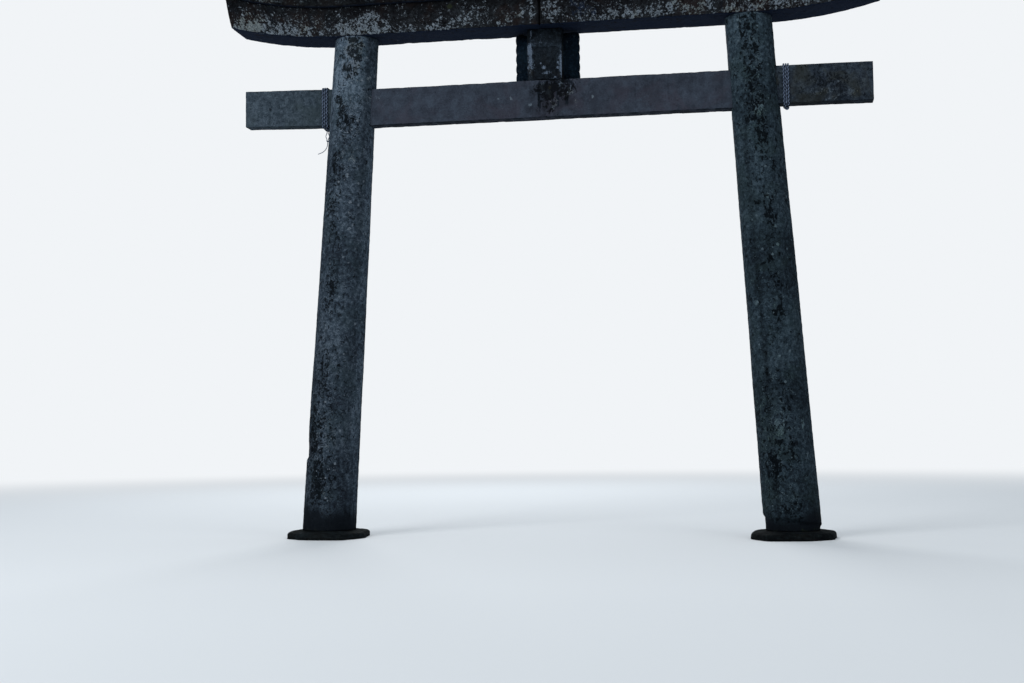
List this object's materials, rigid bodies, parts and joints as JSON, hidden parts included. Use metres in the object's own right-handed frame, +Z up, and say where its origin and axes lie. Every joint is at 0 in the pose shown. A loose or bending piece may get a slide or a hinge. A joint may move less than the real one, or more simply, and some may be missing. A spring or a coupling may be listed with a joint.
{
  "type": "stone torii gate",
  "caption": "Weathered stone torii gate: two leaning round pillars, a tie beam, a strut with a tablet, and upswept double lintels; rope lashed round the beam ends.",
  "frame": {"origin": "on the ground, midway between the two pillars", "axes": "+Z up, +X along the beams towards the right pillar, -Y is the side that shows the bare strut, +Y the side with the tablet"},
  "size_m": [7.7574, 0.9936, 6.6532],
  "materials": {
    "pillar_stone": "weathered granite with lichen and black streaks",
    "base_stone": "rough damp granite",
    "beam_stone": "weathered granite, smoother than the pillars",
    "lintel_stone": "dark weathered granite with pale lichen",
    "strut_stone": "weathered granite with pale lichen",
    "tablet_stone": "dark weathered granite",
    "rope": "twisted fibre rope, faded blue and white"
  },
  "bodies": {
    "root": {"pillar_left": "pillar_stone", "pillar_right": "pillar_stone", "base_stone_left": "base_stone", "base_stone_right": "base_stone", "nuki_middle": "beam_stone", "nuki_nose_left": "beam_stone", "nuki_nose_right": "beam_stone", "gakuzuka": "strut_stone", "tablet_frame": "tablet_stone", "tablet_panel": "tablet_stone", "shimaki_left": "lintel_stone", "shimaki_right": "lintel_stone", "kasagi_left": "lintel_stone", "kasagi_right": "lintel_stone", "rope_lashing_left": "rope", "rope_lashing_right": "rope", "rope_knot_left": "rope", "rope_knot_right": "rope", "bow_strand_left": "rope", "bow_strand_right": "rope", "bow_knot": "rope", "rope_tail": "rope"}
  },
  "joints": []
}
